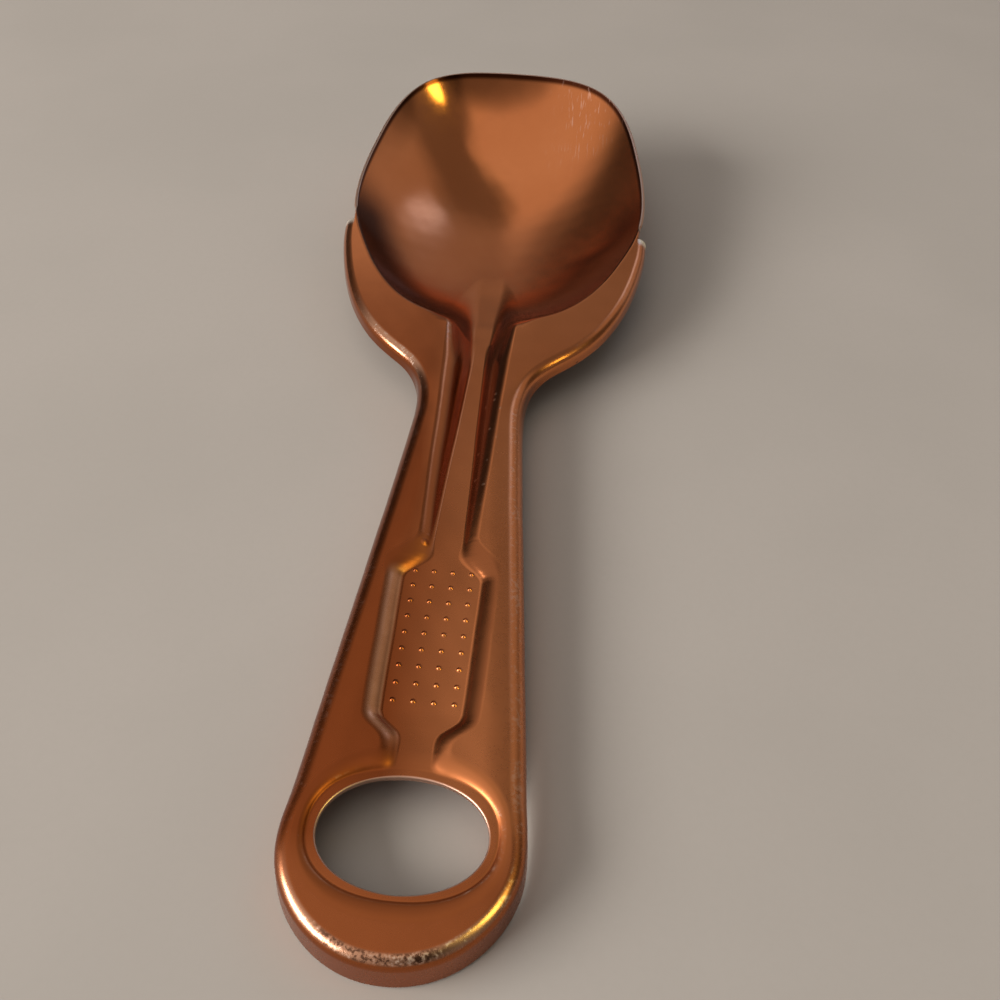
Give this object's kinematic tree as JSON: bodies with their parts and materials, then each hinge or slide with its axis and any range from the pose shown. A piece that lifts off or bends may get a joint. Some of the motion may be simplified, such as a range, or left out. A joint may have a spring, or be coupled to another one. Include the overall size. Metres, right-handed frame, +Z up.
{
  "type": "ice cream scoop",
  "caption": "One-piece pressed metal ice cream scoop: rounded bowl with a bare rim, flat tapered handle with turned-down edges, stem groove, sunk panel and oval hanging hole.",
  "frame": {"origin": "middle of the bounding box in plan, on the surface that the scoop lies on", "axes": "+Y from the handle end to the bowl tip, +X across to the right when the bowl points away, +Z up out of the bowl's mouth"},
  "size_m": [0.0592, 0.1938, 0.0202],
  "materials": {
    "copper_finish": "glossy copper-coloured anodised sheet, lightly worn on the bends"
  },
  "bodies": {
    "root": {"bowl": "copper_finish", "handle_plate": "copper_finish", "edge_skirt": "copper_finish", "stem_channel": "copper_finish", "name_panel": "copper_finish", "hole_collar": "copper_finish"}
  },
  "joints": []
}
